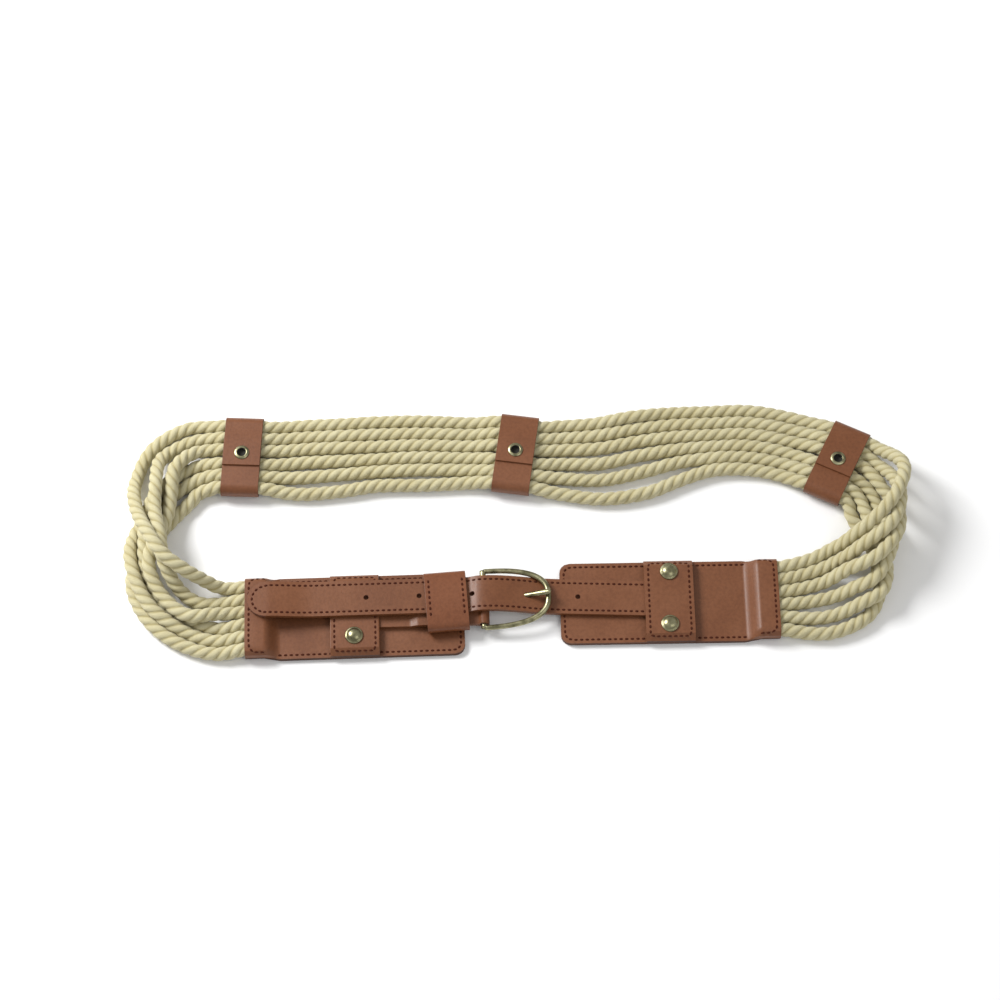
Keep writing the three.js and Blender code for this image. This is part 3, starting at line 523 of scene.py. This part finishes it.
def rounded(points, radius, steps=3):
    """The same profile with its inner corners rounded."""
    out = [points[0]]
    for before, corner, after in zip(points, points[1:], points[2:]):
        corner, before, after = (np.array(p, float) for p in (corner, before, after))
        a, b = before - corner, after - corner
        length_a, length_b = np.linalg.norm(a), np.linalg.norm(b)
        reach = min(radius, length_a / 2.2, length_b / 2.2)
        start, end = corner + a / length_a * reach, corner + b / length_b * reach
        for t in np.linspace(0, 1, steps + 1):
            out.append(tuple((1 - t) ** 2 * start + 2 * t * (1 - t) * corner + t**2 * end))
    return out + [points[-1]]


# ---------- materials ----------
class Nodes:
    """Short calls for building a material's node tree."""

    def __init__(self, name):
        self.material = bpy.data.materials.new(name)
        self.material.use_nodes = True
        self.tree = self.material.node_tree
        self.shader = self.tree.nodes["Principled BSDF"]

    def fill(self, socket, value):
        """Links the socket to another node's output, or gives it a constant."""
        if isinstance(value, bpy.types.NodeSocket):
            self.tree.links.new(value, socket)
        else:
            socket.default_value = value

    def object_place(self):
        return self.add("ShaderNodeTexCoord").outputs["Object"]

    def attribute(self, name, output):
        return self.add("ShaderNodeAttribute", attribute_name=name).outputs[output]

    def stretched(self, vector, factors):
        node = self.add("ShaderNodeVectorMath", {0: vector, 1: factors}, operation="MULTIPLY")
        return node.outputs[0]

    def add(self, kind, inputs=(), **settings):
        node = self.tree.nodes.new(kind)
        for key, value in settings.items():
            setattr(node, key, value)
        for key, value in dict(inputs).items():
            self.fill(node.inputs[key], value)
        return node

    def noise(self, vector, scale, detail=3, roughness=0.55):
        inputs = {"Vector": vector, "Scale": scale, "Detail": detail, "Roughness": roughness}
        return self.add("ShaderNodeTexNoise", inputs).outputs["Fac"]

    def ramp(self, value, stops):
        node = self.add("ShaderNodeValToRGB", {"Fac": value})
        ramp = node.color_ramp
        while len(ramp.elements) < len(stops):
            ramp.elements.new(0.5)
        for element, (place, colour) in zip(ramp.elements, stops):
            element.position = place
            element.color = (*colour, 1)
        return node.outputs["Color"]

    def multiply(self, a, b):
        """Product of two colours. On a colour mixing node they are inputs 6 and 7."""
        inputs = {0: 1.0, 6: a, 7: b}
        node = self.add("ShaderNodeMix", inputs, data_type="RGBA", blend_type="MULTIPLY")
        return node.outputs[2]

    def calculate(self, operation, *values):
        node = self.add("ShaderNodeMath", operation=operation)
        for socket, value in zip(node.inputs, values):
            self.fill(socket, value)
        return node.outputs[0]

    def bump(self, height, strength, distance):
        inputs = {"Height": height, "Strength": strength, "Distance": distance}
        normal = self.add("ShaderNodeBump", inputs).outputs["Normal"]
        self.fill(self.shader.inputs["Normal"], normal)

    def finish(self, **values):
        """Fills the shader's inputs named by the keys, and hands over the material."""
        for key, value in values.items():
            self.fill(self.shader.inputs[key.replace("_", " ")], value)
        return self.material


def cotton_material():
    """Matt twisted cotton with painted shade between the strands, and fine threads running along
    them.
    """
    nodes = Nodes("twisted_cotton")
    crown = nodes.attribute("crown", "Fac")
    strand = nodes.attribute("strand", "Vector")
    place = nodes.object_place()
    yarn = nodes.noise(nodes.stretched(strand, (0.35, 2.2, 1)), 1, 4)
    fuzz = nodes.noise(nodes.stretched(strand, (1.3, 6, 1)), 1, 5, 0.7)
    patches = nodes.noise(place, 90, 2)
    # Painted shade: the colour darkens from the strands' crowns into the crevices between them,
    # where shade falls.
    between, flank = (0.42, 0.36, 0.18), (0.53, 0.48, 0.28)
    shoulder, top = (0.61, 0.565, 0.36), (0.635, 0.59, 0.385)
    strand_shade = nodes.ramp(crown, [(0, between), (0.2, flank), (0.5, shoulder), (1, top)])
    yarn_share = nodes.calculate("MULTIPLY", yarn, 0.6)
    fuzz_share = nodes.calculate("MULTIPLY", fuzz, 0.4)
    threads = nodes.calculate("ADD", yarn_share, fuzz_share)
    fibres = nodes.ramp(threads, [(0.35, (0.8, 0.77, 0.7)), (0.6, WHITE)])
    tone = nodes.ramp(patches, [(0.3, (0.92, 0.9, 0.84)), (0.7, WHITE)])
    colour = nodes.multiply(nodes.multiply(strand_shade, fibres), tone)
    nodes.bump(nodes.calculate("ADD", threads, nodes.noise(place, 2600, 3)), 0.6, 0.0004)
    return nodes.finish(Base_Color=colour, Roughness=0.95, Sheen_Weight=0.15, Sheen_Roughness=0.6)


def leather_material(name, dark, middle, light, roughness=0.45):
    """Smooth leather in three near tones, with a fine grain."""
    nodes = Nodes(name)
    place = nodes.object_place()
    broad = nodes.noise(place, 45, 3)
    fine = nodes.noise(place, 700, 4)
    tone = nodes.ramp(broad, [(0.3, dark), (0.5, middle), (0.72, light)])
    speckle = nodes.ramp(fine, [(0.3, (0.82, 0.8, 0.78)), (0.6, WHITE)])
    colour = nodes.multiply(tone, speckle)
    grain = nodes.add("ShaderNodeTexVoronoi", {"Vector": place, "Scale": 1500}).outputs["Distance"]
    nodes.bump(nodes.calculate("ADD", grain, fine), 0.12, 0.0003)
    rough = nodes.calculate("MULTIPLY_ADD", fine, 0.2, roughness - 0.08)
    return nodes.finish(Base_Color=colour, Roughness=rough)


def brass_material():
    """Darkened brass, worn brighter in spots."""
    nodes = Nodes("old_brass")
    place = nodes.object_place()
    worn = nodes.noise(place, 260, 4)
    stops = [(0.3, (0.14, 0.13, 0.07)), (0.55, (0.32, 0.3, 0.175)), (0.8, (0.5, 0.475, 0.3))]
    rough = nodes.calculate("MULTIPLY_ADD", worn, 0.3, 0.18)
    nodes.bump(nodes.noise(place, 1600, 2), 0.08, 0.0002)
    return nodes.finish(Base_Color=nodes.ramp(worn, stops), Metallic=1.0, Roughness=rough)


def thread_material():
    nodes = Nodes("brown_thread")
    ply = nodes.noise(nodes.object_place(), 3000, 2)
    colour = nodes.ramp(ply, [(0.3, (0.04, 0.009, 0.004)), (0.7, (0.08, 0.02, 0.009))])
    nodes.bump(ply, 0.3, 0.0002)
    return nodes.finish(Base_Color=colour, Roughness=0.9, Specular_IOR_Level=0.15)


# Near-black painted shade for the walls and floor of the eyelets' bores.
def bore_shade_material():
    nodes = Nodes("painted_bore_shade")
    stops = [(0.3, (0.006, 0.005, 0.003)), (0.7, (0.02, 0.017, 0.01))]
    colour = nodes.ramp(nodes.noise(nodes.object_place(), 900, 3), stops)
    return nodes.finish(Base_Color=colour, Roughness=0.8)


WHITE = (1, 1, 1)
COTTON = cotton_material()
TAN = leather_material(
    "brown_leather", (0.15, 0.047, 0.013), (0.17, 0.056, 0.017), (0.19, 0.067, 0.024)
)
SADDLE = leather_material(
    "saddle_leather", (0.15, 0.042, 0.01), (0.17, 0.05, 0.013), (0.19, 0.06, 0.018), 0.42
)
DARK_EDGE = leather_material(
    "dark_edge", (0.05, 0.016, 0.007), (0.065, 0.022, 0.01), (0.08, 0.03, 0.014), 0.6
)
PALE_EDGE = leather_material(
    "pale_edge", (0.15, 0.06, 0.035), (0.19, 0.08, 0.05), (0.22, 0.1, 0.065), 0.6
)
BRASS = brass_material()
BORE_SHADE = bore_shade_material()
THREAD = thread_material()

# ---------- ropes ----------
for number, route in enumerate(rope_routes(), 1):
    rope_piece(number, route)

# ---------- leather ----------
surfaces = {}
for side in ("left", "right"):
    for part, fold in (("tab_back", EDGE_ROUND), ("tab_front", EDGE_ROUND), ("band", BAND_ROUND)):
        node = f"{side}_{part}"
        surfaces[node] = dressed(node, TAN, DARK_EDGE, LEATHER, fold=fold)
surfaces["tip_strap"] = dressed("tip_strap", TAN, PALE_EDGE, STRAP_THICKNESS)
dressed("buckle_strap", TAN, PALE_EDGE, STRAP_THICKNESS)
surfaces["strap_loop"] = dressed("strap_loop", SADDLE, DARK_EDGE, LEATHER, turn=STRAP_LOOP_PLACE[2])
for number, place in enumerate(KEEPERS, 1):
    dressed(f"keeper_{number}", TAN, DARK_EDGE, LEATHER, turn=place[2])


# ---------- stitches ----------
def box_path(left, right, half, radius, steps=5):
    """A closed path with round corners, in a place's own frame."""
    corners = [(right, half, 0), (left, half, 90), (left, -half, 180), (right, -half, 270)]
    points = []
    for x, y, start in corners:
        cx = x - radius if x == right else x + radius
        cy = y - radius if y > 0 else y + radius
        for k in range(steps + 1):
            angle = math.radians(start + 90 * k / steps)
            points.append((cx + radius * math.cos(angle), cy + radius * math.sin(angle)))
    return np.array(points + points[:1])


def stitches(name, surface, paths):
    """Short threads lying on a surface along paths given in drawing millimetres."""
    corners = [vertex.co.copy() for vertex in surface.data.vertices]
    tree = BVHTree.FromPolygons(corners, [list(face.vertices) for face in surface.data.polygons])
    section = circle(1, STITCH_SIDES) * [1, 0.6]
    down = Vector((0, 0, -1))
    vertices, faces = [], []
    for path in paths:
        marks = respace(np.asarray(path, float), STITCH_PITCH)
        for before, after in zip(marks, marks[1:]):
            middle = (before + after) / 2
            ahead = (after - before) / np.linalg.norm(after - before) * STITCH_LENGTH / 2
            spots = []
            for t in (-1, 0, 1):
                flat = world([*(middle + t * ahead), 0])[0]
                hit = tree.ray_cast(Vector((flat[0], flat[1], 0.05)), down)[0]
                if hit is None:
                    break
                spots.append(np.array(hit))
            if len(spots) < 3 or np.ptp([spot[2] for spot in spots]) > STITCH_LEAN * MM:
                continue
            first, centre, last = spots
            line = np.array([first, (first + centre) / 2, centre, (centre + last) / 2, last])
            line[:, 2] += np.array([-0.2, 0, 0.08, 0, -0.2]) * MM
            radii = np.array([0.35, 0.9, 1, 0.9, 0.35]) * STITCH_WIDTH / 2 * MM
            start = len(vertices)
            vertices += list(sweep(line, section, radii))
            faces += [[start + k for k in face] for face in tube_faces(len(line), STITCH_SIDES)]
    place_piece(new_object(name, vertices, faces, THREAD), "leather")


def in_drawing(place, path):
    return [to_drawing(place, x, y) for x, y in path]


def strap_y(x):
    """Middle of the holed strap at x. It bends a little at the buckle."""
    aside = x - TONGUE_HOLE_X
    return 0.025 * LOOP_DEPTH + aside * (0.034 if aside < 0 else -0.022)


def tab_stitches():
    edge = STITCH_INSET
    half = TAB_HALF_WIDTH - edge
    tab_border = box_path(edge, TAB_LENGTH - edge, half, TAB_CORNER - edge)
    band_half = BAND_WIDTH / 2 - edge
    band_border = box_path(BAND_PLACE - band_half, BAND_PLACE + band_half, half, 0.5)
    parts = (("tab", "tab_front", tab_border), ("band", "band", band_border))
    for side, place in (("left", LEFT_TAB), ("right", RIGHT_TAB)):
        for part, node, border in parts:
            surface = surfaces[f"{side}_{node}"]
            stitches(f"{side}_{part}_stitches", surface, [in_drawing(place, border)])


def strap_stitches():
    half = STRAP_WIDTH / 2 - STITCH_INSET
    nose_x = TIP_X + STRAP_WIDTH / 2
    places = np.linspace(FRONT_HALF - BAND_PLACE - BAND_WIDTH / 2, nose_x, 60)
    nose = [
        (nose_x - half * math.sin(turn), strap_y(TIP_X) + half * math.cos(turn))
        for turn in np.linspace(0, math.pi, 9)
    ]
    near, far = ([(x, strap_y(x) + aside) for x in places] for aside in (-half, half))
    stitches("strap_stitches", surfaces["tip_strap"], [far + nose + near[::-1]])


def loop_stitches():
    near, far = -STRAP_WIDTH / 2 - 2, STRAP_WIDTH / 2
    column_x = LOOP_BAND_WIDTH / 2 - STITCH_INSET
    columns = [in_drawing(STRAP_LOOP_PLACE, [(x, near), (x, far)]) for x in (-column_x, column_x)]
    stitches("loop_stitches", surfaces["strap_loop"], columns)


tab_stitches()
strap_stitches()
loop_stitches()


# ---------- rivets ----------
def domed_rivets():
    """The rivets of the tabs, with a low dome on a thin flange."""
    foot, shank = CLEARANCE / 2, SHANK_DIAMETER / 2
    seat = ON_STRAP + LEATHER + CLEARANCE / 2
    cap = CAP_DIAMETER / 2
    dome = [
        (1, 0.16), (0.97, 0.27), (0.9, 0.32), (0.84, 0.3),
        (0.78, 0.42), (0.65, 0.66), (0.45, 0.87), (0.22, 0.98), (0, 1),
    ]
    profile = [(0, foot), (shank, foot), (shank, seat), (cap, seat)]
    profile += [(cap * r, seat + CAP_HEIGHT * z) for r, z in dome]
    for node in ("left_rivet_1", "right_rivet_1", "right_rivet_2"):
        lathe(f"{node}_brass", profile, node)


def eyelets():
    """The keepers' hollow rivets: a cap underneath, a pin, and the eyelet with its dark bore."""
    flange = KEEPER_ROPE_HEIGHT + SLEEVE_OUTER + LEATHER + CLEARANCE / 2
    shoulder = KEEPER_ROPE_HEIGHT + ROPE_RADIUS + CLEARANCE
    cap, pin, rim = CAP_DIAMETER / 2, PIN_DIAMETER / 2, EYELET_DIAMETER / 2
    bore = EYELET_BORE / 2
    barrel = bore + EYELET_WALL
    corners = [
        (0, 0), (0.8 * cap, 0), (cap, FOOT_CAP), (pin, FOOT_CAP), (pin, shoulder),
        (barrel, shoulder + EYELET_WALL), (barrel, flange), (rim, flange),
        (0.95 * rim, flange + EYELET_WALL / 2), (0.75 * rim, flange + EYELET_WALL),
        (0.62 * rim, flange + EYELET_WALL), (bore, flange + 0.2),
        (bore, shoulder + 1.6 * EYELET_WALL), (0, shoulder + 1.2 * EYELET_WALL),
    ]
    profile = rounded(corners, 0.25)
    # Painted shade: the bore's walls and floor, inside this radius and above this height, are
    # coloured near black.
    dark = (bore + 0.3, shoulder + EYELET_WALL / 2)
    for number in range(1, len(KEEPERS) + 1):
        lathe(f"eyelet_{number}", profile, f"keeper_rivet_{number}", dark=dark)


domed_rivets()
eyelets()


# ---------- buckle ----------
def buckle_frame():
    """A bent wire, flatter than round and thinner towards its ends, and the bar between them."""
    angles = np.linspace(-math.pi / 2, math.pi / 2, 1201)
    power = 2 / 2.6
    along = BUCKLE_LENGTH * np.abs(np.cos(angles)) ** power
    aside = BUCKLE_WIDTH / 2 * np.sign(angles) * np.abs(np.sin(angles)) ** power
    x, y = to_drawing(BUCKLE_PLACE, along, aside)
    z = BAR_HEIGHT + (FRAME_END_HEIGHT - BAR_HEIGHT) * along / BUCKLE_LENGTH
    line = respace(np.column_stack([x, y, z]), WIRE_STEP)
    share = np.linspace(-1, 1, len(line))
    radii = FRAME_WIRE / 2 * (0.92 + 0.14 * np.cos(share * math.pi / 2) ** 2)
    past_end = np.clip((np.abs(share) - 0.975) / 0.03, 0, 0.85)
    radii *= np.clip(np.sqrt(1 - past_end**2), 0, 1)
    arms = sweep(line, circle(1, WIRE_SIDES) * [1, 0.9], radii)
    half_bar = BUCKLE_WIDTH / 2 + 0.2
    bar_ends = [to_drawing(BUCKLE_PLACE, 0, side * half_bar) for side in (-1, 1)]
    bar_line = respace(np.array([[*end, BAR_HEIGHT] for end in bar_ends]), 1)
    bar = sweep(bar_line, circle(BAR_DIAMETER / 2, WIRE_SIDES))
    faces = tube_faces(len(line), WIRE_SIDES)
    bar_faces = tube_faces(len(bar_line), WIRE_SIDES)
    faces += [[len(arms) + k for k in face] for face in bar_faces]
    obj = new_object("buckle_frame_brass", world(np.concatenate([arms, bar])), faces, BRASS)
    place_piece(obj, "old_brass", "buckle_frame")


def buckle_tongue():
    """A wire hooked round the bar, through the strap's hole and over the frame's end."""
    end_x = BAR_X + BUCKLE_LENGTH
    end_z = FRAME_END_HEIGHT + (FRAME_WIRE + TONGUE_WIRE) / 2 + 1.5 * CLEARANCE
    low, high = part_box("buckle_tongue")
    middle_y = (low.y + high.y) / 2 / MM - SHIFT[1]
    hole_z = high.z / MM - TONGUE_DROP
    slope = (end_z - hole_z) / (end_x - TONGUE_HOLE_X)
    points = []
    for angle in np.radians(range(-60, -376, -20)):
        points.append((
            BAR_X + TONGUE_HOOK_RADIUS * math.cos(angle),
            BAR_HEIGHT + TONGUE_HOOK_RADIUS * math.sin(angle),
        ))
    points.append((BAR_X + 0.28 * BUCKLE_LENGTH, BAR_HEIGHT - 0.3))
    straight = (
        BAR_X + 0.5 * BUCKLE_LENGTH, TONGUE_HOLE_X, end_x - TONGUE_WIRE, end_x + TONGUE_OVERHANG
    )
    points += [(x, hole_z + slope * (x - TONGUE_HOLE_X)) for x in straight]
    line = respace(smooth_curve([(x, middle_y, z) for x, z in points], 12), TONGUE_STEP)
    share = (line[:, 0] - BAR_X) / BUCKLE_LENGTH
    hooked = np.arange(len(line)) * TONGUE_STEP < TONGUE_HOOK_LENGTH
    hook_radius, shaft_places = 0.55, [0.1, 0.3, 0.64, 0.95, 1.02, 1.035]
    shaft = np.interp(share, shaft_places, [hook_radius, 0.95, 0.9, 1.35, 1.1, 0.5])
    radii = np.where(hooked, hook_radius, shaft)
    tongue = sweep(line, circle(1, TONGUE_SIDES) * [1.15, 0.9], radii, side=[0, 1, 0])
    faces = tube_faces(len(line), TONGUE_SIDES)
    obj = new_object("buckle_tongue_brass", world(tongue), faces, BRASS)
    place_piece(obj, "old_brass", "buckle_tongue")


buckle_frame()
buckle_tongue()


# ---------- studio ----------
def area_light(name, place, size, power):
    """A round lamp at a place, aimed at the belt."""
    light = bpy.data.lights.new(name, "AREA")
    light.shape = "DISK"
    light.size = size
    light.energy = power
    obj = bpy.data.objects.new(name, light)
    obj.location = place
    obj.rotation_mode = "QUATERNION"
    obj.rotation_quaternion = (-Vector(place)).to_track_quat("-Z", "Y")
    bpy.context.scene.collection.objects.link(obj)


def studio():
    """A pale floor, a white surround and two soft lamps."""
    nodes = Nodes("pale_floor")
    floor_material = nodes.finish(Base_Color=(0.93, 0.93, 0.93, 1), Roughness=0.9)
    size, drop = 6, 0.0003
    corners = [(-size, -size, 0), (size, -size, 0), (size, size, 0), (-size, size, 0)]
    floor = new_object("floor", corners, [(0, 1, 2, 3)], floor_material, smooth=False)
    floor.location.z = -drop
    scene = bpy.context.scene
    scene.world = bpy.data.worlds.new("studio")
    scene.world.use_nodes = True
    background = scene.world.node_tree.nodes["Background"]
    background.inputs["Color"].default_value = (1, 1, 1, 1)
    background.inputs["Strength"].default_value = 0.5
    area_light("key", (-0.9, 0.5, 0.9), 0.6, 21)
    area_light("fill", (0.7, -0.5, 1.2), 0.9, 3)
    scene.view_settings.view_transform = "Standard"


def camera():
    """A long lens, looking down at the belt from the front."""
    data = bpy.data.cameras.new("camera")
    data.lens = 100
    data.sensor_width = 36
    data.clip_start, data.clip_end = 0.1, 20
    obj = bpy.data.objects.new("camera", data)
    bpy.context.scene.collection.objects.link(obj)
    aim = Vector(world([-6, 56, 0])[0])
    elevation, distance = math.radians(65), 1.3889
    back = Vector((0, -math.cos(elevation), math.sin(elevation)))
    obj.location = aim + back * distance
    obj.rotation_mode = "QUATERNION"
    obj.rotation_quaternion = (-back).to_track_quat("-Z", "Y")
    bpy.context.scene.camera = obj


studio()
camera()
